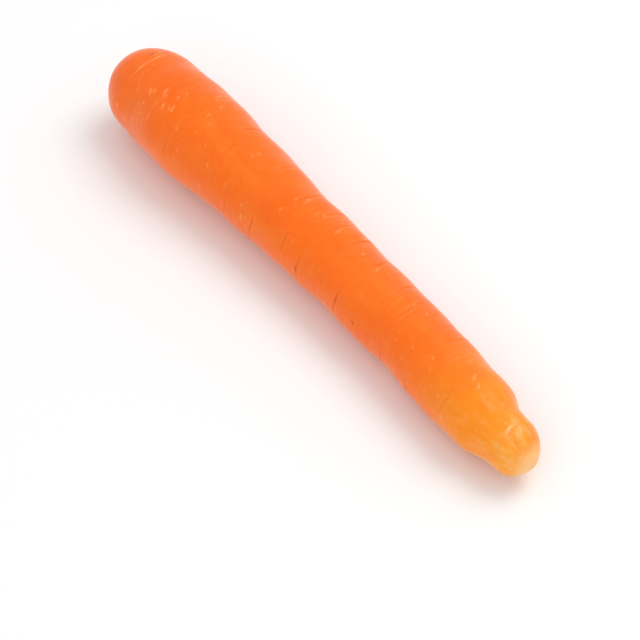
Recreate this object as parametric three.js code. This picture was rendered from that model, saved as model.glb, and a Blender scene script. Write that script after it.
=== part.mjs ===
// One carrot: a taproot in one piece, washed, with its leaves cut off at the crown.
// It lies on its side as on a table. Millimetres, +Z up. The root runs along X, its crown at -X
// and its tip at +X. The origin is on the table, under the middle of the carrot's box.
import * as THREE from 'three';

// Where the root ends, and the round end at its crown and at its tip. Distances from the crown
// are measured from a plane just before it, and its pole lies at crownStart.
// A fullness of 2 makes an end elliptic, and less makes it slimmer.
const rootLength = 190;
const crownStart = 2;
const crownRounding = 15.8;
const crownFullness = 2.6;
const tipRounding = 7.3;
const tipFullness = 1.8;

// Half thickness, as [distance from the crown, radius]: broad shoulders, a long slow taper,
// a slight swelling before the end, and a step down to the blunt knob at the tip.
const thickness = [
  [0, 13.3],
  [14, 13.8],
  [34, 14.8],
  [60, 13.1],
  [90, 11.5],
  [120, 10.8],
  [145, 10.5],
  [160, 10.5],
  [170, 10.1],
  [176.5, 7.9],
  [183, 7.4],
  [190, 7.2],
];

// How far the middle of the root bows sideways, as [distance from the crown, offset along Y].
const sidewaysBow = [
  [0, -1.7],
  [14, -0.8],
  [34, -0.45],
  [51, 0.2],
  [68, 1.2],
  [99, 1.7],
  [130, 2.1],
  [153, 0.85],
  [168, 0.5],
  [176, 0.1],
  [190, -0.1],
];

// The underside touches the table from seatStart to seatEnd, but for a low arch in between.
const seatStart = 20;
const seatEnd = 165;
const archStart = 48;
const archEnd = 138;
const archHeight = 0.45;
const tipDroop = 0.03;

// The seat is pressed flat by this share of the radius. The skin is smooth as far round the root
// as seatSmoothAngle from its lowest line, and has its full relief from seatReliefAngle on.
const columns = 32;
const seatSink = 0.024;
const seatSmoothAngle = 12;
const seatReliefAngle = 32;
const seatAngle = 180;

// The section is a little oval and three-sided, and both turn slowly along the root.
const ovalShare = 0.012;
const threeSidedShare = 0.008;
const sectionTurnLength = 240;

// Long low swellings of the skin, as [height, length of a wave, turns round the root, phase].
const swellings = [
  [0.2, 43, 1, 0.6],
  [0.16, 27, -2, 2.1],
  [0.1, 15, 3, 4.0],
];

// Rings of vertices lie this far apart along the root, but for those round its two poles.
// They weave to and fro, so that the creases that follow them don't run straight across.
const ringStep = 1.3;
const crownPoleRings = 5;
const crownPoleLength = 4 * ringStep;
const tipRings = 8;
const weaveReach = 0.8;
const weaveLength = 61;

// A crease is a groove across the root, with a low lip on each side.
const grooveReach = 1.2;
const lipDistance = 1.3;
const lipReach = 0.9;
const lipShare = 0.3;

// Creases on the top and on the near side, as [distance from the crown, middle of the crease
// in degrees, span in degrees, depth]. An angle of 0 is the top, 90 the near side at -Y.
const openCreases = [
  [5.2, 60, 80, 0.24],
  [9, 310, 70, 0.24],
  [14.3, 6, 76, 0.3],
  [26, 322, 60, 0.2],
  [41, 66, 44, 0.16],
  [56, 330, 70, 0.22],
  [66, 84, 44, 0.2],
  [72, 340, 60, 0.22],
  [78, 78, 50, 0.3],
  [85, 342, 76, 0.34],
  [92, 58, 44, 0.22],
  [94, 330, 66, 0.3],
  [99, 82, 48, 0.3],
  [100, 340, 70, 0.32],
  [107.5, 322, 90, 0.4],
  [115, 74, 46, 0.3],
  [117, 340, 64, 0.3],
  [123, 80, 36, 0.2],
  [127.5, 332, 72, 0.32],
  [134, 2, 56, 0.26],
  [136, 92, 40, 0.22],
  [144, 322, 66, 0.3],
  [149, 94, 44, 0.24],
  [150, 321, 56, 0.24],
  [158, 350, 60, 0.2],
  [164, 60, 46, 0.2],
  [182, 0, 50, 0.26],
];

// The two hidden rows get their creases from a seeded draw.
const hiddenRows = [155, 248];
const hiddenStart = 10;
const hiddenEnd = 182;
const hiddenSpacing = 6;
const hiddenSpacingSpread = 8;
const hiddenAngleSpread = 26;
const hiddenSpan = 34;
const hiddenSpanSpread = 50;
const hiddenDepth = 0.2;
const hiddenDepthSpread = 0.2;
const seed = 20417;

// The crown's hollow, and the low ring round the scar that the leaves left in it.
const hollowRadius = 6.6;
const hollowDepth = 2.5;
const scarRingRadius = 3.2;
const scarRingReach = 1.7;
const scarRingHeight = 0.4;

// The small round scar at the tip, where the thin end of the root broke off.
const tipScarRadius = 2.4;
const tipScarDepth = 0.5;

const degree = Math.PI / 180;

// Returns a smooth curve through places given as [distance, value].
function smoothThrough(places) {
  const last = places.length - 1;
  const slopes = places.map((place, i) => {
    const before = places[Math.max(i - 1, 0)];
    const after = places[Math.min(i + 1, last)];
    return (after[1] - before[1]) / (after[0] - before[0]);
  });
  return (distance) => {
    let i = 0;
    while (i < last - 1 && distance > places[i + 1][0]) i += 1;
    const span = places[i + 1][0] - places[i][0];
    const t = (distance - places[i][0]) / span;
    const startPull = t * (1 - t) * (1 - t) * span * slopes[i];
    const endPull = t * t * (t - 1) * span * slopes[i + 1];
    return places[i][1] * (1 - rise(t)) + places[i + 1][1] * rise(t) + startPull + endPull;
  };
}

// Returns a draw between 0 and 1 that gives the same numbers each time.
function seededDraw(start) {
  const multiplier = 1664525;
  const increment = 1013904223;
  const modulus = 4294967296;
  let state = start;
  return () => {
    state = (state * multiplier + increment) % modulus;
    return state / modulus;
  };
}

// Goes from 0 at the pole of a round end to 1 where the end meets the body.
function roundEnd(distance, rounding, fullness) {
  const share = Math.min(distance / rounding, 1);
  return (1 - (1 - share) ** fullness) ** (1 / fullness);
}

// Goes smoothly from 0 to 1 while the share does.
function rise(share) {
  const t = Math.min(Math.max(share, 0), 1);
  return t * t * (3 - 2 * t);
}

// Gives 1 at the middle of a bump and 0 beyond its reach, smoothly.
function bump(distance, reach) {
  const share = Math.min(Math.abs(distance) / reach, 1);
  return (1 - share * share) ** 2;
}

// Gives the smallest turn between two angles in degrees, without its sign.
function turnBetween(angle, other) {
  const turn = Math.abs(angle - other) % 360;
  return Math.min(turn, 360 - turn);
}

const bodyRadius = smoothThrough(thickness);
const bowAt = smoothThrough(sidewaysBow);

function radiusAt(along) {
  const crown = roundEnd(along - crownStart, crownRounding, crownFullness);
  const tip = roundEnd(rootLength - along, tipRounding, tipFullness);
  return bodyRadius(along) * crown * tip;
}

// Height of the root's middle line over the table.
function middleHeight(along) {
  const seated = Math.min(Math.max(along, seatStart), seatEnd);
  const archShare = Math.min(Math.max((seated - archStart) / (archEnd - archStart), 0), 1);
  const arch = archHeight * Math.sin(Math.PI * archShare) ** 2;
  const droop = tipDroop * Math.max(along - seatEnd, 0);
  return bodyRadius(seated) * (1 - seatSink) + arch - droop;
}

// Distances of the rings of vertices from the crown's pole to the tip's pole.
function makeRings() {
  const rings = [];
  for (let i = 0; i < crownPoleRings; i += 1) {
    rings.push(crownStart + (crownPoleLength - crownStart) * (i / crownPoleRings) ** 2);
  }
  const firstRing = crownPoleLength / ringStep;
  const lastRing = Math.floor((rootLength - tipRounding) / ringStep);
  for (let i = firstRing; i <= lastRing; i += 1) {
    rings.push(i * ringStep);
  }
  for (let i = tipRings - 1; i >= 0; i -= 1) {
    rings.push(rootLength - tipRounding * (1 - Math.cos((i / tipRings) * (Math.PI / 2))));
  }
  return rings;
}

const rings = makeRings();

// A crease lies on the ring nearest to its place, so that its bottom is sharp.
function nearestRing(along) {
  return rings.reduce((best, ring) => {
    return Math.abs(ring - along) < Math.abs(best - along) ? ring : best;
  });
}

function makeCreases() {
  const draw = seededDraw(seed);
  const creases = [...openCreases];
  for (const row of hiddenRows) {
    let along = hiddenStart + hiddenSpacing * draw();
    while (along < hiddenEnd) {
      const angle = row + hiddenAngleSpread * (draw() - 0.5);
      const span = hiddenSpan + hiddenSpanSpread * draw();
      const depth = hiddenDepth + hiddenDepthSpread * draw();
      creases.push([along, angle, span, depth]);
      along += hiddenSpacing + hiddenSpacingSpread * draw();
    }
  }
  return creases.map(([along, ...rest]) => [nearestRing(along), ...rest]);
}

const creases = makeCreases();

// Depth of the creases at a vertex, below zero on a lip.
function creaseDepthAt(along, angle) {
  let depth = 0;
  for (const [creaseAlong, creaseAngle, span, creaseDepth] of creases) {
    const away = Math.abs(along - creaseAlong);
    const across = bump(away, grooveReach) - lipShare * bump(away - lipDistance, lipReach);
    depth += creaseDepth * across * bump(turnBetween(angle, creaseAngle), span / 2);
  }
  return depth;
}

// Height of the skin over a true round section, but for the creases.
function swellingAt(along, angle) {
  const turn = (2 * Math.PI * along) / sectionTurnLength;
  const oval = ovalShare * Math.cos(2 * angle * degree - turn);
  const threeSided = threeSidedShare * Math.cos(3 * angle * degree + turn);
  let height = bodyRadius(along) * (oval + threeSided);
  for (const [size, length, turns, phase] of swellings) {
    height += size * Math.sin((2 * Math.PI * along) / length + turns * angle * degree + phase);
  }
  return height;
}

// How far the crown's skin lies in from the round end, at a radius from its pole.
function crownHollowAt(radius) {
  const ring = scarRingHeight * bump(radius - scarRingRadius, scarRingReach);
  return hollowDepth * bump(radius, hollowRadius) - ring;
}

// Moves one vertex of the plain turned shape to its place on the root.
function shapeVertex(vertex) {
  const along = vertex.x;
  const radius = Math.hypot(vertex.y, vertex.z);
  const angle = (Math.atan2(-vertex.y, vertex.z) / degree + 360) % 360;
  const roundness = radius / bodyRadius(along);
  const seatTurn = turnBetween(angle, seatAngle) - seatSmoothAngle;
  const relief = rise(seatTurn / (seatReliefAngle - seatSmoothAngle)) * roundness;
  const skin = radius + (swellingAt(along, angle) - creaseDepthAt(along, angle)) * relief;
  const weave = Math.sin((2 * Math.PI * along) / weaveLength + angle * degree) * weaveReach;
  const crownIn = along < crownRounding ? crownHollowAt(radius) : 0;
  const tipIn = along > rootLength / 2 ? tipScarDepth * bump(radius, tipScarRadius) : 0;
  vertex.x = along + weave * roundness ** 2 + crownIn - tipIn;
  vertex.y = bowAt(along) - skin * Math.sin(angle * degree);
  vertex.z = Math.max(middleHeight(along) + skin * Math.cos(angle * degree), 0);
}

// The root: a plain turned shape along X whose skin is then moved.
function makeRoot() {
  const outline = rings.map((along) => new THREE.Vector2(radiusAt(along), along));
  const geometry = new THREE.LatheGeometry(outline, columns);
  geometry.rotateZ(-Math.PI / 2);
  const positions = geometry.getAttribute('position');
  const vertex = new THREE.Vector3();
  for (let i = 0; i < positions.count; i += 1) {
    vertex.fromBufferAttribute(positions, i);
    shapeVertex(vertex);
    positions.setXYZ(i, vertex.x, vertex.y, vertex.z);
  }
  geometry.computeBoundingBox();
  const middle = geometry.boundingBox.getCenter(new THREE.Vector3());
  geometry.translate(-middle.x, -middle.y, 0);
  geometry.computeVertexNormals();
  const skin = new THREE.MeshStandardMaterial({
    color: 0xf5782a,
    roughness: 0.5,
    metalness: 0,
  });
  const root = new THREE.Mesh(geometry, skin);
  root.name = 'carrot_root';
  return root;
}

const carrot = new THREE.Group();
carrot.add(makeRoot());

export default carrot;
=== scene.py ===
import math
import random

import bpy
import numpy as np
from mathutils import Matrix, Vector


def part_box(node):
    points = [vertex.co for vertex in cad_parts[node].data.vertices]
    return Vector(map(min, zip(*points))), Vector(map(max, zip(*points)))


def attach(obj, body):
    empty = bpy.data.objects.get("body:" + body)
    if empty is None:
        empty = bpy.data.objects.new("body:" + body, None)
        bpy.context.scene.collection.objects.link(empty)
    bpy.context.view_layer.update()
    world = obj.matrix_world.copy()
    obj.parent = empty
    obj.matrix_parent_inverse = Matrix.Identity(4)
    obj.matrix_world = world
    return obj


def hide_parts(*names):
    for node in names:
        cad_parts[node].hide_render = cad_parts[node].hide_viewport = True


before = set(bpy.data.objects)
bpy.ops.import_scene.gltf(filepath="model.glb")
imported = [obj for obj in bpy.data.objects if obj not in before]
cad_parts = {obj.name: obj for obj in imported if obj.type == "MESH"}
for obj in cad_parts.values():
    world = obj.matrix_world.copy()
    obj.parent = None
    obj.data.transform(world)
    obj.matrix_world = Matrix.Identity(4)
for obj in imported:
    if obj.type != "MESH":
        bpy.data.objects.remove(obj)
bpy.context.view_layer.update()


# The camera
# It looks down on the carrot from its tip's side, 45 degrees up and 700 mm away, so that the
# crown lies far off at the upper left and the tip near at the lower right.

mm = 0.001
camera_turn = math.radians(53.9)
camera_rise = math.radians(45)
camera_distance = 700 * mm
camera_target = Vector((-1.8, 0.4, 12)) * mm
target_right_of_centre = -5.5
target_above_centre = 70.2
camera_data = bpy.data.cameras.new("camera")
camera_data.sensor_width = 36
camera_data.lens = 140.4
camera_data.clip_start = 10 * mm
camera = bpy.data.objects.new("camera", camera_data)
bpy.context.scene.collection.objects.link(camera)
bpy.context.scene.camera = camera
camera_back = Vector(
    (
        math.sin(camera_turn) * math.cos(camera_rise),
        -math.cos(camera_turn) * math.cos(camera_rise),
        math.sin(camera_rise),
    )
)
camera_right = Vector((math.cos(camera_turn), math.sin(camera_turn), 0))
camera_up = camera_back.cross(camera_right)
frame_pixels = 640
metres_per_pixel = camera_distance * camera_data.sensor_width / camera_data.lens / frame_pixels
camera.location = camera_target + camera_back * camera_distance
aim = camera_target - camera_right * target_right_of_centre * metres_per_pixel
aim -= camera_up * target_above_centre * metres_per_pixel
camera.rotation_euler = (camera.location - aim).to_track_quat("Z", "Y").to_euler()


# The root
# One carrot root of firm flesh under a thin skin, grown in one piece. It is swept along its
# middle line from the crown to the tip, with the sizes of the solid that it stands for. All
# distances along it are from a plane just before the crown, whose pole is at crown_start.

root_length = 190
crown_start = 2
crown_rounding = 15.8
crown_fullness = 2.6
tip_rounding = 7.3
tip_fullness = 1.8
# Each place is a distance along the root with the root's radius there.
thickness = (
    (0, 13.3),
    (14, 13.8),
    (34, 14.8),
    (60, 13.1),
    (90, 11.5),
    (120, 10.8),
    (145, 10.5),
    (160, 10.5),
    (170, 10.1),
    (176.5, 7.9),
    (183, 7.4),
    (190, 7.2),
)
# Each place is a distance along the root with its middle line's distance from the X axis.
sideways_bow = (
    (0, -1.7),
    (14, -0.8),
    (34, -0.45),
    (51, 0.2),
    (68, 1.2),
    (99, 1.7),
    (130, 2.1),
    (153, 0.85),
    (168, 0.5),
    (176, 0.1),
    (190, -0.1),
)
seat_start = 20
seat_end = 165
arch_start = 48
arch_end = 138
arch_height = 0.45
tip_droop = 0.03
seat_sink = 0.024


def rise(share):
    """Goes smoothly from 0 to 1 while the share does."""
    t = min(max(share, 0), 1)
    return t * t * (3 - 2 * t)


def smooth_through(places, distance):
    """The value at a distance on a smooth curve through (distance, value) places."""
    last = len(places) - 1
    i = 0
    while i < last - 1 and distance > places[i + 1][0]:
        i += 1
    slopes = []
    for k in (i, i + 1):
        before = places[max(k - 1, 0)]
        after = places[min(k + 1, last)]
        slopes.append((after[1] - before[1]) / (after[0] - before[0]))
    span = places[i + 1][0] - places[i][0]
    t = (distance - places[i][0]) / span
    start_pull = t * (1 - t) * (1 - t) * span * slopes[0]
    end_pull = t * t * (t - 1) * span * slopes[1]
    return places[i][1] * (1 - rise(t)) + places[i + 1][1] * rise(t) + start_pull + end_pull


def round_end(distance, rounding, fullness):
    """Goes from 0 at the pole of a round end to 1 where the end meets the body."""
    share = min(distance / rounding, 1)
    return (1 - (1 - share) ** fullness) ** (1 / fullness)


def middle_height(along):
    """Height of the root's middle line over the table."""
    seated = min(max(along, seat_start), seat_end)
    arch_share = min(max((seated - arch_start) / (arch_end - arch_start), 0), 1)
    arch = arch_height * math.sin(math.pi * arch_share) ** 2
    droop = tip_droop * max(along - seat_end, 0)
    return smooth_through(thickness, seated) * (1 - seat_sink) + arch - droop


def ring_distances():
    """Distances of the rings along the root, close together where the round ends turn in."""
    body_step = 0.46
    crown_rings = 56
    tip_rings = 26
    distances = []
    for i in range(crown_rings):
        turned = 1 - math.cos(math.pi / 2 * i / crown_rings)
        distances.append(crown_start + crown_rounding * turned)
    body_start = crown_start + crown_rounding
    body_length = root_length - body_start - tip_rounding
    body_rings = round(body_length / body_step)
    for i in range(body_rings):
        distances.append(body_start + body_length * i / body_rings)
    for i in range(tip_rings, -1, -1):
        distances.append(root_length - tip_rounding * (1 - math.cos(math.pi / 2 * i / tip_rings)))
    return distances


def line_object(name, places, strands, numbers):
    """A mesh of bare lines, each strand a run of its points, with named numbers on the points."""
    mesh = bpy.data.meshes.new(name)
    edges = []
    start = 0
    for count in strands:
        edges += [(start + i, start + i + 1) for i in range(count - 1)]
        start += count
    mesh.from_pydata([(x * mm, y * mm, z * mm) for x, y, z in places], edges, [])
    for key, values in numbers.items():
        mesh.attributes.new(key, "FLOAT", "POINT").data.foreach_set("value", values)
    line = bpy.data.objects.new(name, mesh)
    bpy.context.scene.collection.objects.link(line)
    return line


pole_radius = 0.004
rings = ring_distances()
body_radii = [smooth_through(thickness, along) for along in rings]
ring_radii = []
for along, body_radius in zip(rings, body_radii):
    crown = round_end(along - crown_start, crown_rounding, crown_fullness)
    tip = round_end(root_length - along, tip_rounding, tip_fullness)
    ring_radii.append(max(body_radius * crown * tip, pole_radius))
middle_line = line_object(
    "middle_line",
    [(along, smooth_through(sideways_bow, along), middle_height(along)) for along in rings],
    [len(rings)],
    {
        "ring_radius": np.array(ring_radii) * mm,
        "body_radius": np.array(body_radii) * mm,
        "along": np.array(rings) * mm,
    },
)


# The creases
# Shallow grooves that run part of the way across the root, each with a low lip on both sides.
# They stand in four rows, where side roots once grew. They are drawn here on the skin as if
# unrolled, with the distance along the root one way and the way round it the other.

unrolled_radius = 12
line_points = 25
line_bends = 3
line_unevenness = 0.22
line_fading = 1.5
crease_wander = 0.22
# Each is a distance along the root, an angle round it, a span in degrees and a depth.
creases = [
    (5.2, 60, 80, 0.24),
    (9, 310, 70, 0.24),
    (14.3, 6, 76, 0.18),
    (26, 322, 60, 0.2),
    (41, 66, 44, 0.16),
    (56, 330, 70, 0.22),
    (66, 84, 44, 0.2),
    (72, 340, 60, 0.22),
    (78, 78, 50, 0.3),
    (85, 342, 76, 0.26),
    (92, 58, 44, 0.22),
    (94, 330, 66, 0.24),
    (99, 82, 48, 0.38),
    (100, 340, 70, 0.25),
    (107.5, 322, 90, 0.3),
    (115, 74, 46, 0.38),
    (117, 340, 64, 0.24),
    (123, 80, 36, 0.2),
    (127.5, 332, 72, 0.25),
    (134, 2, 56, 0.26),
    (136, 92, 40, 0.22),
    (144, 322, 66, 0.24),
    (149, 94, 44, 0.24),
    (150, 321, 56, 0.24),
    (158, 350, 60, 0.2),
    (164, 60, 46, 0.2),
    (182, 0, 50, 0.26),
]
seen_rows = (340, 75)
hidden_rows = (155, 248)
hidden_start = 10
hidden_end = 182
hidden_spacing = 6
hidden_spacing_spread = 8
hidden_angle_spread = 26
hidden_span = 34
hidden_span_spread = 50
hidden_depth = 0.2
hidden_depth_spread = 0.2


class Draw:
    """Draws between 0 and 1 that are the same each time, and the same as the solid's own."""

    multiplier = 1664525
    increment = 1013904223
    modulus = 4294967296

    def __init__(self, seed):
        self.state = seed

    def next(self):
        self.state = (self.state * self.multiplier + self.increment) % self.modulus
        return self.state / self.modulus


draw = Draw(20417)
for row in hidden_rows:
    along = hidden_start + hidden_spacing * draw.next()
    while along < hidden_end:
        angle = row + hidden_angle_spread * (draw.next() - 0.5)
        span = hidden_span + hidden_span_spread * draw.next()
        depth = hidden_depth + hidden_depth_spread * draw.next()
        creases.append((along, angle, span, depth))
        along += hidden_spacing + hidden_spacing_spread * draw.next()


def unrolled_lines(name, strokes, wander, seed):
    """Lines on the unrolled skin from (along, angle, span, strength) strokes, in turns next to
    each other, so that a stroke near the join is found from both sides of it. Each is a little
    wavy and uneven and fades to its ends. A fifth number makes a stroke lean."""
    wandering = random.Random(seed)
    places = []
    strengths = []
    for along, angle, span, strength, *lean in strokes:
        lean = lean[0] if lean else 0
        bends = [wandering.uniform(-1, 1) for _ in range(line_bends)]
        wrapped = (angle + 180) % 360 - 180
        for turn in (-360, 0, 360):
            for i in range(line_points):
                share = 2 * i / (line_points - 1) - 1
                bend = sum(b * math.sin((k + 1.5) * share * 2 + k) for k, b in enumerate(bends))
                round_way = math.radians(wrapped + turn + share * span / 2) * unrolled_radius
                places.append((along + lean * share / 2 + wander * bend, round_way, 0))
                uneven = 1 - line_unevenness * (1 - math.sin(7 * share + 9 * bends[0]))
                strengths.append(strength * uneven * (1 - share * share) ** line_fading)
    strands = [line_points] * (3 * len(strokes))
    return line_object(name, places, strands, {"strength": strengths})


crease_lines = unrolled_lines("crease_lines", creases, crease_wander, seed=3)

# Hairline wrinkles
# The skin between the creases has many finer ones, short and very shallow, in the same rows.

hairline_wander = 0.3
hairline_start = 8
hairline_end = 186
hairline_angle_spread = 20
hairline_spans = (14, 60)
hairline_strengths = (0.3, 1)
hairline_spacings = (1.2, 4.2)

hairlines = []
hairline_draw = random.Random(11)
for row in seen_rows + hidden_rows:
    along = hairline_start
    while along < hairline_end:
        angle = row + hairline_draw.gauss(0, hairline_angle_spread)
        span = hairline_draw.uniform(*hairline_spans)
        strength = hairline_draw.uniform(*hairline_strengths)
        hairlines.append((along, angle, span, strength))
        along += hairline_draw.uniform(*hairline_spacings)
hairline_lines = unrolled_lines("hairline_lines", hairlines, hairline_wander, seed=4)

# Pale flecks
# Short raised corky dashes, where the skin breathes or a hair root was rubbed off. Those on the
# shoulder's top are the plainest, and the rest are strewn over the root. One near the tip stands
# for a glint and is a painted highlight. The few of less than 0 in strength are brown specks in
# the skin, and dark strokes in the bottoms of creases that are painted shade.

fleck_wander = 0.12
strewn_flecks = 170
strewn_distances = (6, 184)
strewn_angle_spread = 26
strewn_spans = (2, 9)
strewn_strengths = (0.15, 0.6)
strewn_leans = (-1, 1)
# Each is a distance along the root, an angle round it, a span in degrees, a strength and a lean.
flecks = [
    (12.4, 355, 9, -0.8, 0.5),
    (10.6, 338, 6, -0.4, -0.4),
    (14.5, 4, 70, 0.85, 0.4),
    (12.8, -14, 30, 0.5, 0.3),
    # The next three are dark strokes along creases, painted shade in the grooves.
    (78.3, 82, 12, -0.3, 0.2),
    (98.6, 82, 18, -0.45, 0.3),
    (115, 74, 14, -0.5, 0.2),
    (122.7, 79, 3, -1.0, 0.3),
    (128.4, 100, 4, -0.7, 0.4),
    (136.5, 96, 3, -0.7, 0.2),
    (20, 41, 7, 0.5, 0.4),
    (25.2, 33, 11, 1.0, 1.3),
    (26.4, 30, 8, 0.8, -0.4),
    (26, 49, 5, 0.7, 0.3),
    (27, 61, 7, 0.6, 0.2),
    (30, 22, 12, 0.9, 0.9),
    (31.2, 26, 6, 0.7, -1.0),
    (31, 57, 6, 0.5, 0.3),
    (33.6, 36, 10, 0.9, 1.1),
    (35, 18, 8, 0.6, 0.2),
    (36.8, 31, 11, 0.8, 0.7),
    (36, 34, 5, 0.6, -0.9),
    (15, 78, 10, 0.8, 0.4),
    (19, 89, 9, 0.8, 0.3),
    (42, 44, 7, 0.5, 0.5),
    (46, 7, 8, 0.6, 0.3),
    (45, 76, 6, 0.5, 0.2),
    (49, 14, 9, 0.5, -0.5),
    (55, 86, 10, 0.8, 0.6),
    (41, 338, 14, 0.8, 1.2),
    (42.4, 345, 8, 0.7, -0.6),
    (45.5, 347, 11, 0.6, 0.8),
    (64, 57, 7, 0.5, 0.2),
    (64, 4, 8, 0.5, 0.4),
    (73.4, 78, 14, 0.9, 0.7),
    (75, 74, 8, 0.7, -0.5),
    (84, 29, 7, 0.6, 0.3),
    (84, 4, 8, 0.7, -0.3),
    (91.3, 118, 8, 1.0, 0.4),
    (98, 86, 10, 0.5, 0.4),
    (106, 318, 30, 0.7, 1.0),
    (109, 330, 24, 0.6, 0.6),
    (86.4, 352, 22, 0.6, 0.8),
    (94.6, 346, 18, 0.5, -0.7),
    (101.4, 352, 20, 0.6, 0.9),
    (118.3, 350, 18, 0.5, 0.8),
    (112, 348, 8, 0.8, 0.5),
    (143, 89, 9, 1.0, 0.5),
    (147, 96, 7, 0.9, 0.3),
    (152, 24, 6, 0.7, 1.2),
    (154, 38, 8, 0.7, 0.8),
    (165, 359, 16, 0.5, 2.0),
    (168, 4, 14, 0.4, 1.6),
    (178.6, 108, 7, 1.0, 0.4),
    (181.4, 10, 30, 1.0, 0.9),
    (183, 352, 5, 0.6, 3.2),
    (185.6, 27, 5, 0.4, 3.4),
    # This fleck is a painted highlight, a glint near the tip's end.
    (187, 92, 12, 0.9, 0.6),
]
fleck_draw = random.Random(29)
for _ in range(strewn_flecks):
    along = fleck_draw.uniform(*strewn_distances)
    angle = fleck_draw.choice(seen_rows + hidden_rows) + fleck_draw.gauss(0, strewn_angle_spread)
    span = fleck_draw.uniform(*strewn_spans)
    strength = fleck_draw.uniform(*strewn_strengths)
    flecks.append((along, angle, span, strength, fleck_draw.uniform(*strewn_leans)))
fleck_lines = unrolled_lines("fleck_lines", flecks, fleck_wander, seed=5)


class Wire:
    """Wraps a socket of a node tree, so that sums of sockets can be written out plainly."""

    def __init__(self, tree, socket=None):
        self.tree = tree
        self.socket = socket

    def node(self, kind, settings, values, output=0):
        """Adds a node, with its settings first and then its sockets' values or links."""
        node = self.tree.nodes.new(kind)
        for key, setting in settings.items():
            setattr(node, key, setting)
        for key, value in values.items():
            if isinstance(value, Wire):
                self.tree.links.new(value.socket, node.inputs[key])
            else:
                node.inputs[key].default_value = value
        return Wire(self.tree, None if output is None else node.outputs[output])

    def output(self, name):
        return Wire(self.tree, self.socket.node.outputs[name])

    def math(self, operation, *values):
        return self.node("ShaderNodeMath", {"operation": operation}, dict(enumerate(values)))

    def clamped(self):
        return self.node("ShaderNodeClamp", {}, {0: self})

    def smooth(self, low, high):
        """Goes smoothly from 0 to 1 while the value goes from low to high."""
        settings = {"interpolation_type": "SMOOTHSTEP"}
        return self.node("ShaderNodeMapRange", settings, {0: self, 1: low, 2: high})

    def bump(self, reach):
        """1 where the value is 0, and 0 beyond its reach, smoothly."""
        share = self.math("MINIMUM", abs(self) / reach, 1)
        return (1 - share * share) ** 2

    def __add__(self, other):
        return self.math("ADD", self, other)

    def __radd__(self, other):
        return self.math("ADD", other, self)

    def __sub__(self, other):
        return self.math("SUBTRACT", self, other)

    def __rsub__(self, other):
        return self.math("SUBTRACT", other, self)

    def __mul__(self, other):
        return self.math("MULTIPLY", self, other)

    def __rmul__(self, other):
        return self.math("MULTIPLY", other, self)

    def __truediv__(self, other):
        return self.math("DIVIDE", self, other)

    def __pow__(self, other):
        return self.math("POWER", self, other)

    def __abs__(self):
        return self.math("ABSOLUTE", self)


def named(wire, name, kind="FLOAT"):
    settings = {"data_type": kind}
    return wire.node("GeometryNodeInputNamedAttribute", settings, {"Name": name})


def stored(wire, geometry, name, value, kind="FLOAT"):
    settings = {"data_type": kind, "domain": "POINT"}
    values = {"Geometry": geometry, "Name": name, "Value": value}
    return wire.node("GeometryNodeStoreNamedAttribute", settings, values)


def start_tree(name, sockets):
    """A new tree with named inputs, and each input as a wire."""
    tree = bpy.data.node_groups.new(name, "GeometryNodeTree")
    tree.is_modifier = True
    tree.interface.new_socket("Geometry", in_out="OUTPUT", socket_type="NodeSocketGeometry")
    tree.interface.new_socket("Geometry", in_out="INPUT", socket_type="NodeSocketGeometry")
    for key, kind in sockets.items():
        tree.interface.new_socket(key, in_out="INPUT", socket_type="NodeSocket" + kind)
    group_in = tree.nodes.new("NodeGroupInput")
    return tree, {socket.name: Wire(tree, socket) for socket in group_in.outputs if socket.name}


def end_tree(geometry, material):
    """Ends a tree: its geometry smooth, its instances made real, its material set."""
    smooth = geometry.node("GeometryNodeSetShadeSmooth", {}, {"Geometry": geometry})
    real = geometry.node("GeometryNodeRealizeInstances", {}, {"Geometry": smooth})
    values = {"Geometry": real, "Material": material}
    dressed = geometry.node("GeometryNodeSetMaterial", {}, values)
    group_out = geometry.tree.nodes.new("NodeGroupOutput")
    geometry.tree.links.new(dressed.socket, group_out.inputs[0])


def run_tree(carrier, tree, values, name):
    """Runs a tree on its carrier, and leaves a plain mesh object in the carrier's place."""
    modifier = carrier.modifiers.new(tree.name, "NODES")
    modifier.node_group = tree
    for item in tree.interface.items_tree:
        if item.in_out == "INPUT" and item.name in values:
            modifier[item.identifier] = values[item.name]
    depsgraph = bpy.context.evaluated_depsgraph_get()
    made = carrier.evaluated_get(depsgraph)
    mesh = bpy.data.meshes.new_from_object(
        made, preserve_all_data_layers=True, depsgraph=depsgraph
    )
    mesh.name = name
    carrier.modifiers.remove(modifier)
    bpy.data.objects.remove(carrier)
    piece = bpy.data.objects.new(name, mesh)
    bpy.context.scene.collection.objects.link(piece)
    return piece


# The skin's shape
# The sweep along the middle line, then all relief on it: the slightly uneven section, the long
# swellings, creases, hairline wrinkles and flecks, the crown's hollow and the scar at the tip.

# Each swelling is a height, a length along the root, its turns round it and a phase.
swellings = ((0.2, 43, 1, 0.6), (0.16, 27, -2, 2.1), (0.1, 15, 3, 4.0))
oval_share = 0.012
three_sided_share = 0.008
section_turn_length = 240
seat_smooth_angle = 12
seat_relief_angle = 32
weave_reach = 0.8
weave_length = 61
# A lip's distance from the middle of its groove and its reach, as shares of the groove's reach.
lip_distance = 1.3
lip_reach = 1.2
hollow_radius = 6.6
hollow_depth = 2.5
scar_ring_radius = 3.2
scar_ring_reach = 1.7
scar_ring_height = 0.4
rough_scar_radius = 5.5
rough_scar_height = 0.35
cracks_radius = 4.6
cracks_reach = 3
crack_spacing = 1.15
crack_height = 0.1
tip_scar_radius = 2.4
tip_scar_depth = 0.5
rough_tip_radius = 3
rough_tip_height = 0.2
weld_distance = 0.02


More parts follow.
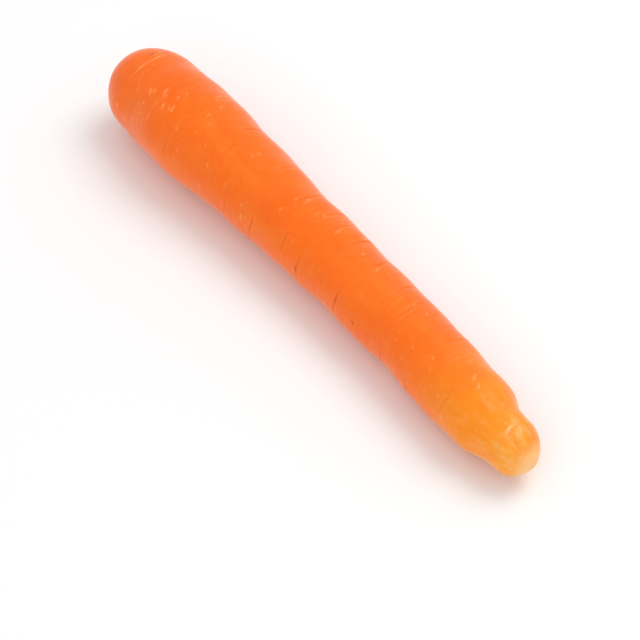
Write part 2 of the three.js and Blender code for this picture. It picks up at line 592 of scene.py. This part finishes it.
def line_depth(lines, place, reach, lip_share):
    """Depth of the grooves of a set of lines at a place on the unrolled skin."""
    settings = {"transform_space": "ORIGINAL"}
    drawn = lines.node("GeometryNodeObjectInfo", settings, {"Object": lines}, "Geometry")
    values = {"Geometry": drawn, "Sample Position": place}
    settings = {"target_element": "EDGES"}
    away = lines.node("GeometryNodeProximity", settings, values, "Distance")
    nearest = lines.node("GeometryNodeSampleNearest", {"domain": "POINT"}, values)
    values = {"Geometry": drawn, "Value": named(lines, "strength"), "Index": nearest}
    strength = lines.node("GeometryNodeSampleIndex", {"data_type": "FLOAT"}, values)
    groove = away.bump(reach)
    if lip_share:
        groove = groove - lip_share * (away - lip_distance * reach).bump(lip_reach * reach)
    return groove * strength


def make_skin_tree():
    tree, given = start_tree(
        "carrot_skin_shape",
        {
            "Columns": "Int",
            "Crease Lines": "Object",
            "Crease Reach": "Float",
            "Lip Share": "Float",
            "Hairline Lines": "Object",
            "Hairline Reach": "Float",
            "Hairline Depth": "Float",
            "Fleck Lines": "Object",
            "Fleck Reach": "Float",
            "Fleck Height": "Float",
            "Lump Height": "Float",
            "Ripple Height": "Float",
            "Seed": "Float",
            "Material": "Material",
        },
    )
    wire = given["Geometry"]
    settings = {"mode": "EDGES"}
    line = wire.node("GeometryNodeMeshToCurve", settings, {"Mesh": wire})
    line = wire.node("GeometryNodeSetCurveNormal", {"mode": "Z_UP"}, {"Curve": line})
    position = wire.node("GeometryNodeInputPosition", {}, {})
    line = stored(wire, line, "middle", position, "FLOAT_VECTOR")
    ring = wire.node(
        "GeometryNodeCurvePrimitiveCircle", {}, {"Resolution": given["Columns"], "Radius": 1}
    )
    sweep = {"Curve": line, "Profile Curve": ring, "Scale": named(wire, "ring_radius")}
    mesh = wire.node("GeometryNodeCurveToMesh", {}, sweep)

    along = named(wire, "along")
    body_radius = named(wire, "body_radius")
    middle = named(wire, "middle", "FLOAT_VECTOR")
    outward = wire.node(
        "ShaderNodeVectorMath", {"operation": "SUBTRACT"}, {0: position, 1: middle}
    )
    radius = wire.node("ShaderNodeVectorMath", {"operation": "LENGTH"}, {0: outward}, "Value")
    parts = wire.node("ShaderNodeSeparateXYZ", {}, {0: outward})
    angle = wire.math("ARCTAN2", 0 - parts.output("Y"), parts.output("Z"))
    mesh = stored(wire, mesh, "angle", angle)
    mesh = stored(wire, mesh, "roundness", radius / body_radius)
    mesh = stored(wire, mesh, "pole_distance", radius)
    angle = named(wire, "angle")
    roundness = named(wire, "roundness")
    radius = named(wire, "pole_distance")

    round_way = angle * (unrolled_radius * mm)
    place = wire.node("ShaderNodeCombineXYZ", {}, {"X": along, "Y": round_way})
    crease = line_depth(given["Crease Lines"], place, given["Crease Reach"], given["Lip Share"])
    hairline = line_depth(given["Hairline Lines"], place, given["Hairline Reach"], 0)
    fleck = line_depth(given["Fleck Lines"], place, given["Fleck Reach"], 0)
    mesh = stored(wire, mesh, "crease", crease)
    mesh = stored(wire, mesh, "hairline", hairline)
    mesh = stored(wire, mesh, "fleck", fleck)
    crease = named(wire, "crease")
    hairline = named(wire, "hairline")
    fleck = named(wire, "fleck")

    turn = along * (2 * math.pi / (section_turn_length * mm))
    oval = oval_share * wire.math("COSINE", 2 * angle - turn)
    three_sided = three_sided_share * wire.math("COSINE", 3 * angle + turn)
    height = body_radius * (oval + three_sided)
    for size, length, turns, phase in swellings:
        wave = along * (2 * math.pi / (length * mm)) + angle * turns + phase
        height = height + size * mm * wire.math("SINE", wave)

    def around_noise(length, turns_scale, detail, shift):
        """Noise between -1 and 1 with its own scale along the root and round it."""
        vector = wire.node(
            "ShaderNodeCombineXYZ",
            {},
            {
                "X": along / (length * mm) + given["Seed"] + shift,
                "Y": turns_scale * wire.math("COSINE", angle),
                "Z": turns_scale * wire.math("SINE", angle),
            },
        )
        values = {"Vector": vector, "Scale": 1, "Detail": detail, "Roughness": 0.5}
        return 2 * wire.node("ShaderNodeTexNoise", {}, values) - 1

    lumps = around_noise(length=9, turns_scale=1.6, detail=1, shift=0)
    ripples = around_noise(length=1.7, turns_scale=1.5, detail=2, shift=40)
    height = height + given["Lump Height"] * lumps + given["Ripple Height"] * ripples
    height = height - crease * mm - hairline * given["Hairline Depth"]
    height = height + fleck * given["Fleck Height"]

    seat_turn = math.pi - abs(angle)
    clear_of_seat = seat_turn.smooth(
        math.radians(seat_smooth_angle), math.radians(seat_relief_angle)
    )
    skin = radius + height * clear_of_seat * roundness

    weave_wave = along * (2 * math.pi / (weave_length * mm)) + angle
    weave = weave_reach * mm * wire.math("SINE", weave_wave) * roundness * roundness
    values = {"Vector": outward, "Scale": 900.0, "Detail": 3.0, "Roughness": 0.6}
    rough = 2 * wire.node("ShaderNodeTexNoise", {}, values) - 1
    crown_side = wire.math("LESS_THAN", along, root_length / 2 * mm)
    scar_ring = (radius - scar_ring_radius * mm).bump(scar_ring_reach * mm)
    rough_scar = rough * radius.bump(rough_scar_radius * mm)
    cracks = wire.math("SINE", radius * (2 * math.pi / (crack_spacing * mm)))
    cracks = cracks * (radius - cracks_radius * mm).bump(cracks_reach * mm)
    hollow = (hollow_depth * mm) * radius.bump(hollow_radius * mm)
    hollow = hollow - (scar_ring_height * mm) * scar_ring
    hollow = hollow + (rough_scar_height * mm) * rough_scar + (crack_height * mm) * cracks
    rough_tip = rough * radius.bump(rough_tip_radius * mm)
    tip_scar = (tip_scar_depth * mm) * radius.bump(tip_scar_radius * mm)
    tip_scar = tip_scar + (rough_tip_height * mm) * rough_tip
    inward = crown_side * hollow - (1 - crown_side) * tip_scar

    middle_parts = wire.node("ShaderNodeSeparateXYZ", {}, {0: middle})
    y = middle_parts.output("Y") - skin * wire.math("SINE", angle)
    z = middle_parts.output("Z") + skin * wire.math("COSINE", angle)
    moved = wire.node(
        "ShaderNodeCombineXYZ",
        {},
        {"X": along + weave + inward, "Y": y, "Z": wire.math("MAXIMUM", z, 0)},
    )
    mesh = wire.node("GeometryNodeSetPosition", {}, {"Geometry": mesh, "Position": moved})
    values = {"Geometry": mesh, "Distance": weld_distance * mm}
    mesh = wire.node("GeometryNodeMergeByDistance", {}, values)
    end_tree(mesh, given["Material"])
    return tree


# The skin's finish
# Smooth washed carrot skin with a faint waxy sheen over bright orange flesh that light goes a
# little way into. It is redder at the shoulder and yellower and paler towards the tip.


def start_material(name):
    """A new material without nodes, and a wire to add them by."""
    made = bpy.data.materials.new(name)
    made.use_nodes = True
    made.node_tree.nodes.clear()
    return made, Wire(made.node_tree)


skin_material, shade = start_material("carrot_skin")


def attribute(name):
    return shade.node("ShaderNodeAttribute", {"attribute_name": name}, {}, "Fac")


def mixed(amount, first, second):
    """One colour laid over another by an amount from 0 to 1."""
    values = {"Factor": amount, 6: first, 7: second}
    return shade.node("ShaderNodeMix", {"data_type": "RGBA"}, values, "Result")


along = attribute("along") / mm
radius = attribute("pole_distance") / mm
place = shade.node("ShaderNodeTexCoord", {}, {}, "Object")


def stretched(x, y):
    """The place on the skin in millimetres, scaled along the root and across it."""
    scale = (x / mm, y / mm, y / mm)
    return shade.node("ShaderNodeVectorMath", {"operation": "MULTIPLY"}, {0: place, 1: scale})


def noise(x, y, detail=2, roughness=0.5):
    """Noise with one scale along the root and another across it."""
    values = {"Vector": stretched(x, y), "Scale": 1, "Detail": detail, "Roughness": roughness}
    return shade.node("ShaderNodeTexNoise", {}, values)


shoulder_orange = (0.93, 0.15, 0.006, 1)
body_orange = (0.94, 0.155, 0.006, 1)
end_orange = (0.95, 0.27, 0.01, 1)
tip_pale = (0.96, 0.39, 0.04, 1)
deep_orange = (0.86, 0.11, 0.003, 1)
light_orange = (0.96, 0.22, 0.02, 1)
crease_brown_and_shade = (0.55, 0.07, 0.004, 1)
corky_pale_and_highlight = (0.96, 0.4, 0.13, 1)
fleck_cream = (0.99, 0.7, 0.36, 1)
speck_brown_and_crease_shade = (0.42, 0.065, 0.006, 1)
tip_white_and_highlight = (0.98, 0.6, 0.27, 1)
scar_brown = (0.25, 0.12, 0.045, 1)
scar_tan = (0.62, 0.3, 0.085, 1)

# The flesh's colour along the root, then patches, bands and cells of deeper and lighter orange.
# Each lies where its noise is over one value, in full from a second one on, and by a share.
colour = mixed(along.smooth(10, 60), shoulder_orange, body_orange)
colour = mixed(along.smooth(144, 173), colour, end_orange)
colour = mixed(along.smooth(172, 190), colour, tip_pale)
blotches = noise(0.05, 0.09, detail=3)
colour = mixed(blotches.smooth(0.45, 0.75) * 0.42, colour, deep_orange)
lighter = noise(0.035, 0.12, detail=3)
colour = mixed(lighter.smooth(0.5, 0.8) * 0.45, colour, light_orange)
bands = noise(0.7, 0.2, detail=4, roughness=0.6)
colour = mixed(bands.smooth(0.48, 0.75) * 0.3, colour, light_orange)
patches = noise(0.32, 0.3, detail=4, roughness=0.65)
colour = mixed(patches.smooth(0.52, 0.78) * 0.3, colour, light_orange)
cells = noise(1.6, 1.0, detail=3, roughness=0.6)
colour = mixed(cells.smooth(0.5, 0.75) * 0.06, colour, corky_pale_and_highlight)
colour = mixed((1 - cells.smooth(0.3, 0.5)) * 0.07, colour, deep_orange)
streaks = noise(0.16, 0.5, detail=3)
near_tip = along.smooth(160, 182)
colour = mixed(streaks.smooth(0.48, 0.74) * near_tip * 0.26, colour, tip_white_and_highlight)
colour = mixed((1 - streaks.smooth(0.34, 0.5)) * near_tip * 0.45, colour, end_orange)

# Grooves are browner, partly their own colour and partly painted shade, and their lips are paler
# as a painted highlight. Hairlines are paler as painted sheen, and flecks and specks are corky.
crease = attribute("crease")
colour = mixed((crease * 3).clamped() * 0.36, colour, crease_brown_and_shade)
# Painted highlight: the lips beside the grooves are paler.
colour = mixed((crease * -8).clamped() * 0.2, colour, corky_pale_and_highlight)
hairline = attribute("hairline")
# Painted sheen: the hairline wrinkles are paler along pale streaks.
colour = mixed(hairline.clamped() * streaks.smooth(0.35, 0.6) * 0.16, colour, corky_pale_and_highlight)
fleck = attribute("fleck")
fleck_breaks = noise(1.5, 1.5, detail=3).smooth(0.3, 0.6)
fleck_colour = mixed(along.smooth(150, 176), corky_pale_and_highlight, fleck_cream)
fleck_amount = (fleck * 1.5).clamped() * (0.45 + 0.55 * fleck_breaks) * 0.75
colour = mixed(fleck_amount, colour, fleck_colour)
# Flecks below 0 are brown specks, and those in creases are painted shade.
colour = mixed((fleck * -1.3).clamped() * 0.75, colour, speck_brown_and_crease_shade)
specks = shade.node(
    "ShaderNodeTexVoronoi",
    {"feature": "F1"},
    {"Vector": stretched(0.42, 0.2), "Scale": 1, "Randomness": 1},
    "Distance",
)
speck_mask = (1 - specks.smooth(0.05, 0.12)) * noise(0.04, 0.04).smooth(0.5, 0.62)
colour = mixed(speck_mask * 0.4, colour, corky_pale_and_highlight)

# The brown fibrous scar in the crown's hollow, and the small pale one at the tip, whose paleness
# is partly a painted highlight on the tip's end.
at_crown = 1 - along.smooth(6, 10)
scar_edge = radius + 1.6 * (noise(0.7, 0.9, detail=4) - 0.5)
colour = mixed(at_crown * (1 - scar_edge.smooth(3.8, 7.6)) * 0.6, colour, scar_tan)
colour = mixed(at_crown * (1 - scar_edge.smooth(2.2, 4.0)) * 0.85, colour, scar_brown)
scar_fibres = noise(2.2, 2.6, detail=3)
fibre_mask = at_crown * (1 - scar_edge.smooth(2, 4)) * scar_fibres.smooth(0.5, 0.65)
colour = mixed(fibre_mask * 0.7, colour, scar_tan)
# Painted highlight: the tip's end is whitened round its scar.
at_tip = along.smooth(183, 187)
tip_edge = radius + 1.4 * (noise(0.9, 0.9, detail=3) - 0.5)
colour = mixed(at_tip * (1 - tip_edge.smooth(2.0, 6.5)) * 0.7, colour, tip_white_and_highlight)

# Creases, flecks and the scar are duller than the skin, and its finest relief is a bump.
mottle = noise(0.35, 0.35, detail=3)
roughness = 0.4 + 0.14 * mottle + 0.25 * (crease * 2).clamped() + 0.15 * fleck
roughness = roughness + 0.25 * at_crown * (1 - scar_edge.smooth(3, 6))
grain = noise(2.4, 1.6, detail=4, roughness=0.6)
fine_bands = noise(1.5, 0.4, detail=3)
relief = 0.5 * grain + 0.5 * fine_bands
bump_values = {"Strength": 0.26, "Distance": 0.12 * mm, "Height": relief}
bumped = shade.node("ShaderNodeBump", {}, bump_values)
skin_shader = shade.node(
    "ShaderNodeBsdfPrincipled",
    {},
    {
        "Base Color": colour,
        "Roughness": roughness,
        "Normal": bumped,
        "Subsurface Weight": 0.2,
        "Subsurface Radius": (1.0, 0.32, 0.1),
        "Subsurface Scale": 1.6 * mm,
        "Specular IOR Level": 0.06,
        "Coat Weight": 0.34,
        "Coat IOR": 1.3,
        "Coat Roughness": 0.3,
        "Sheen Weight": 0.34,
        "Sheen Tint": (1.0, 0.88, 0.84, 1),
        "Sheen Roughness": 0.4,
    },
)
shade.node("ShaderNodeOutputMaterial", {}, {"Surface": skin_shader}, None)

carrot_root = run_tree(
    middle_line,
    make_skin_tree(),
    {
        "Columns": 208,
        "Crease Lines": crease_lines,
        "Crease Reach": 0.6 * mm,
        "Lip Share": 0.32,
        "Hairline Lines": hairline_lines,
        "Hairline Reach": 0.6 * mm,
        "Hairline Depth": 0.12 * mm,
        "Fleck Lines": fleck_lines,
        "Fleck Reach": 0.55 * mm,
        "Fleck Height": 0.06 * mm,
        "Lump Height": 0.14 * mm,
        "Ripple Height": 0.055 * mm,
        "Seed": 7.0,
        "Material": skin_material,
    },
    "carrot_root_skin",
)
for lines in (crease_lines, hairline_lines, fleck_lines):
    bpy.data.objects.remove(lines)

# The solid stands with the middle of its box over the origin, so the skin is moved onto it.
low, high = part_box("carrot_root")
corners = np.array([vertex.co for vertex in carrot_root.data.vertices])
shift = (low + high) / 2 - Vector((corners.min(0) + corners.max(0)) / 2)
for vertex in carrot_root.data.vertices:
    vertex.co.x += shift.x
    vertex.co.y += shift.y
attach(carrot_root, "root")
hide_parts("carrot_root")


# The rootlet stubs
# Short pale threads, left in the creases where the hair roots were rubbed off in washing. They
# are of the root's own fibre and grow out of its skin, leaning over until they almost lie on it.

# One stub's bend, in shares of its length, with its start below the skin.
thread_bend = {"Start": (0, 0, -0.25), "Middle": (0.12, 0.05, 0.42), "End": (0.9, 0.25, 0.3)}
thread_tapering = 0.75
thread_lengths = (0.5, 1.0)


def random_value(wire, low, high, seed):
    """A number between low and high, drawn for each point."""
    draws = wire.node("FunctionNodeRandomValue", {"data_type": "FLOAT"}, {"Seed": seed})
    for key, value in (("Min_001", low), ("Max_001", high)):
        socket = next(item for item in draws.socket.node.inputs if item.identifier == key)
        socket.default_value = value
    outputs = draws.socket.node.outputs
    return Wire(wire.tree, next(item for item in outputs if item.identifier == "Value_001"))


def spun(wire, rotation, seed):
    """A rotation turned about its own upright by any angle."""
    angle = random_value(wire, 0, 2 * math.pi, seed)
    turn = wire.node("FunctionNodeAxisAngleToRotation", {}, {"Axis": (0, 0, 1), "Angle": angle})
    settings = {"rotation_space": "LOCAL"}
    values = {"Rotation": rotation, "Rotate By": turn}
    return wire.node("FunctionNodeRotateRotation", settings, values)


def swept(wire, bend, taper, steps, corners):
    """A closed round stick along a bent line, with its radius all along the line."""
    line = wire.node("GeometryNodeCurveQuadraticBezier", {}, {"Resolution": steps, **bend})
    values = {"Resolution": corners, "Radius": 1}
    ring = wire.node("GeometryNodeCurvePrimitiveCircle", {}, values)
    sweep = {"Curve": line, "Profile Curve": ring, "Scale": taper, "Fill Caps": True}
    return wire.node("GeometryNodeCurveToMesh", {}, sweep)


def make_stub_tree():
    tree, given = start_tree(
        "rootlet_stubs",
        {
            "Skin": "Object",
            "Least Crease": "Float",
            "Least Height": "Float",
            "Density": "Float",
            "Length": "Float",
            "Thickness": "Float",
            "Seed": "Int",
            "Material": "Material",
        },
    )
    wire = given["Geometry"]
    skin = wire.node("GeometryNodeObjectInfo", {}, {"Object": given["Skin"]}, "Geometry")
    creased = wire.math("GREATER_THAN", named(wire, "crease"), given["Least Crease"])
    place = wire.node("GeometryNodeInputPosition", {}, {})
    height = wire.node("ShaderNodeSeparateXYZ", {}, {0: place}).output("Z")
    creased = creased * wire.math("GREATER_THAN", height, given["Least Height"])
    values = {"Mesh": skin, "Selection": creased}
    values |= {"Density": given["Density"], "Seed": given["Seed"]}
    points = wire.node("GeometryNodeDistributePointsOnFaces", {}, values)
    upright = points.output("Rotation")
    reached = wire.node("GeometryNodeSplineParameter", {}, {}, "Factor")
    taper = given["Thickness"] * (1 - thread_tapering * reached * reached)
    stub = swept(wire, thread_bend, taper, steps=7, corners=8)
    values = {
        "Points": points,
        "Instance": stub,
        "Rotation": spun(wire, upright, seed=5),
        "Scale": given["Length"] * random_value(wire, *thread_lengths, seed=6),
    }
    end_tree(wire.node("GeometryNodeInstanceOnPoints", {}, values), given["Material"])
    return tree


def plain_material(name, colour, streak_colour, roughness, scale):
    """A material of one colour, streaked with another along the root."""
    made, wire = start_material(name)
    place = wire.node("ShaderNodeTexCoord", {}, {}, "Object")
    values = {0: place, 1: (0.22, 1, 1)}
    place = wire.node("ShaderNodeVectorMath", {"operation": "MULTIPLY"}, values)
    values = {"Vector": place, "Scale": scale, "Detail": 4}
    streaks = wire.node("ShaderNodeTexNoise", {}, values)
    values = {"Factor": streaks.smooth(0.4, 0.65), 6: colour, 7: streak_colour}
    base = wire.node("ShaderNodeMix", {"data_type": "RGBA"}, values, "Result")
    values = {
        "Base Color": base,
        "Roughness": roughness + 0.2 * streaks,
        "Subsurface Weight": 0.2,
        "Subsurface Radius": (1.0, 0.4, 0.2),
        "Subsurface Scale": 0.5 * mm,
    }
    shader = wire.node("ShaderNodeBsdfPrincipled", {}, values)
    wire.node("ShaderNodeOutputMaterial", {}, {"Surface": shader}, None)
    return made


fibre_pale = (0.88, 0.3, 0.08, 1)
fibre_deep = (0.7, 0.2, 0.04, 1)
thread_material = plain_material("rootlet_fibre", fibre_pale, fibre_deep, 0.55, scale=900)
stub_carrier = bpy.data.objects.new("stub_carrier", bpy.data.meshes.new("stub_carrier"))
bpy.context.scene.collection.objects.link(stub_carrier)
rootlet_stubs = run_tree(
    stub_carrier,
    make_stub_tree(),
    {
        "Skin": carrot_root,
        "Least Crease": 0.12,
        "Least Height": 4 * mm,
        "Density": 150000.0,
        "Length": 1.0 * mm,
        "Thickness": 0.09,
        "Seed": 12,
        "Material": thread_material,
    },
    "rootlet_stubs",
)
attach(rootlet_stubs, "root")


# The leaf bases
# Stumps of the leaf stalks that were cut or broken off at the crown. They are dry, fibrous and
# greenish brown, and stand in two uneven rings round the growing point in the crown's hollow.

# One leaf base's bend and its other sizes, in shares of its width, but for the jitter.
stump_bend = {"Start": (0.1, 0, -0.4), "Middle": (0.1, 0, 0.3), "End": (-0.5, 0, 0.7)}
stump_tapering = 0.35
stump_end_radius = 0.03
stump_sizes = (0.6, 1.15)
stump_flatness = 0.46
stump_breadth = 1.5
stump_heights = (0.4, 0.9)
stump_raggedness = (0.5, 0.4, 0.5)
stump_jitter = 1.1


def shaken(wire, position, scale, reach):
    """Shifts at a position, drawn from a noise, of up to half a reach to each side."""
    shifts = wire.node("ShaderNodeTexNoise", {}, {"Vector": position, "Scale": scale}, "Color")
    values = {0: shifts, 1: reach, 2: [-size / 2 for size in reach]}
    return wire.node("ShaderNodeVectorMath", {"operation": "MULTIPLY_ADD"}, values)


def make_leaf_base_tree():
    tree, given = start_tree(
        "leaf_bases",
        {
            "Skin": "Object",
            "Crown": "Vector",
            "Inner Radius": "Float",
            "Inner Count": "Int",
            "Outer Radius": "Float",
            "Outer Count": "Int",
            "Width": "Float",
            "Material": "Material",
        },
    )
    wire = given["Geometry"]
    skin = wire.node("GeometryNodeObjectInfo", {}, {"Object": given["Skin"]}, "Geometry")
    rows = []
    for row in ("Inner", "Outer"):
        values = {"Vertices": given[row + " Count"], "Radius": given[row + " Radius"]}
        circle = wire.node("GeometryNodeMeshCircle", {}, values)
        position = wire.node("GeometryNodeInputPosition", {}, {})
        turn = {"Vector": position, "Rotation": (0, -math.pi / 2, 0)}
        turned = wire.node("ShaderNodeVectorRotate", {"rotation_type": "EULER_XYZ"}, turn)
        reach = (0, stump_jitter * mm, stump_jitter * mm)
        jitter = shaken(wire, position, 700, reach)
        spread = wire.node("ShaderNodeVectorMath", {"operation": "ADD"}, {0: turned, 1: jitter})
        values = {"Geometry": circle, "Position": spread, "Offset": given["Crown"]}
        rows.append(wire.node("GeometryNodeSetPosition", {}, values))
    join = wire.tree.nodes.new("GeometryNodeJoinGeometry")
    for row in rows:
        wire.tree.links.new(row.socket, join.inputs[0])
    points = Wire(wire.tree, join.outputs[0])
    where = wire.node("GeometryNodeInputPosition", {}, {})
    settings = {"data_type": "FLOAT_VECTOR"}
    values = {"Mesh": skin, "Value": where, "Sample Position": where}
    landed = wire.node("GeometryNodeSampleNearestSurface", settings, values)
    normal = wire.node("GeometryNodeInputNormal", {}, {})
    values = {"Mesh": skin, "Value": normal, "Sample Position": where}
    outward = wire.node("GeometryNodeSampleNearestSurface", settings, values)
    points = stored(wire, points, "outward", outward, "FLOAT_VECTOR")
    values = {0: where, 1: given["Crown"]}
    radial = wire.node("ShaderNodeVectorMath", {"operation": "SUBTRACT"}, values)
    points = stored(wire, points, "radial", radial, "FLOAT_VECTOR")
    points = wire.node("GeometryNodeSetPosition", {}, {"Geometry": points, "Position": landed})
    upright = wire.node(
        "FunctionNodeAlignRotationToVector",
        {"axis": "Z"},
        {"Vector": named(wire, "outward", "FLOAT_VECTOR")},
    )
    facing = wire.node(
        "FunctionNodeAlignRotationToVector",
        {"axis": "X", "pivot_axis": "Z"},
        {"Rotation": upright, "Vector": named(wire, "radial", "FLOAT_VECTOR")},
    )
    reached = wire.node("GeometryNodeSplineParameter", {}, {}, "Factor")
    rounding = 0.5 * (1 - reached ** 4) ** 0.5
    taper = rounding * (1 - stump_tapering * reached) + stump_end_radius
    stump = swept(wire, stump_bend, taper, steps=9, corners=14)
    where = wire.node("GeometryNodeInputPosition", {}, {})
    ragged = shaken(wire, where, 4, stump_raggedness)
    stump = wire.node("GeometryNodeSetPosition", {}, {"Geometry": stump, "Offset": ragged})
    size = given["Width"] * random_value(wire, *stump_sizes, seed=8)
    height = size * random_value(wire, *stump_heights, seed=9)
    values = {"X": size * stump_flatness, "Y": size * stump_breadth, "Z": height}
    scale = wire.node("ShaderNodeCombineXYZ", {}, values)
    values = {"Points": points, "Instance": stump, "Rotation": facing, "Scale": scale}
    end_tree(wire.node("GeometryNodeInstanceOnPoints", {}, values), given["Material"])
    return tree


stalk_brown = (0.44, 0.23, 0.06, 1)
stalk_dark = (0.27, 0.14, 0.03, 1)
stump_material = plain_material("leaf_base", stalk_brown, stalk_dark, 0.75, scale=1900)
# The skin's first vertex is the one at the crown's pole.
crown_pole = carrot_root.data.vertices[0].co
base_carrier = bpy.data.objects.new("base_carrier", bpy.data.meshes.new("base_carrier"))
bpy.context.scene.collection.objects.link(base_carrier)
leaf_bases = run_tree(
    base_carrier,
    make_leaf_base_tree(),
    {
        "Skin": carrot_root,
        "Crown": crown_pole,
        "Inner Radius": 1.4 * mm,
        "Inner Count": 6,
        "Outer Radius": 3.1 * mm,
        "Outer Count": 11,
        "Width": 1.7 * mm,
        "Material": stump_material,
    },
    "leaf_bases",
)
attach(leaf_bases, "root")


# The table and the light
# A plain pale floor that carries the carrot, and two large soft lights under a pale room.

floor_mesh = bpy.data.meshes.new("floor")
floor_half = 12
floor_corners = [(-floor_half, -floor_half, 0), (floor_half, -floor_half, 0)]
floor_corners += [(floor_half, floor_half, 0), (-floor_half, floor_half, 0)]
floor_mesh.from_pydata(floor_corners, [], [(0, 1, 2, 3)])
floor = bpy.data.objects.new("floor", floor_mesh)
bpy.context.scene.collection.objects.link(floor)
floor_material = bpy.data.materials.new("pale_floor")
floor_material.use_nodes = True
floor_shader = floor_material.node_tree.nodes["Principled BSDF"]
floor_shader.inputs["Base Color"].default_value = (0.9, 0.9, 0.9, 1)
floor_shader.inputs["Roughness"].default_value = 0.8
floor_mesh.materials.append(floor_material)

room = bpy.data.worlds.new("pale_room")
bpy.context.scene.world = room
room.use_nodes = True
room.node_tree.nodes["Background"].inputs["Color"].default_value = (1, 1, 1, 1)
room.node_tree.nodes["Background"].inputs["Strength"].default_value = 0.78


def soft_light(name, place, size, power):
    """A round lamp that faces the carrot."""
    lamp = bpy.data.lights.new(name, "AREA")
    lamp.shape = "DISK"
    lamp.size = size
    lamp.energy = power
    light = bpy.data.objects.new(name, lamp)
    light.location = place
    light.rotation_euler = Vector(place).to_track_quat("Z", "Y").to_euler()
    bpy.context.scene.collection.objects.link(light)


soft_light("window_light", (0.1, 0.5, 0.9), size=0.7, power=4)
soft_light("fill_light", (0.6, -0.9, 0.8), size=0.8, power=2.2)
bpy.context.scene.view_settings.view_transform = "Standard"
bpy.context.scene.view_settings.look = "None"
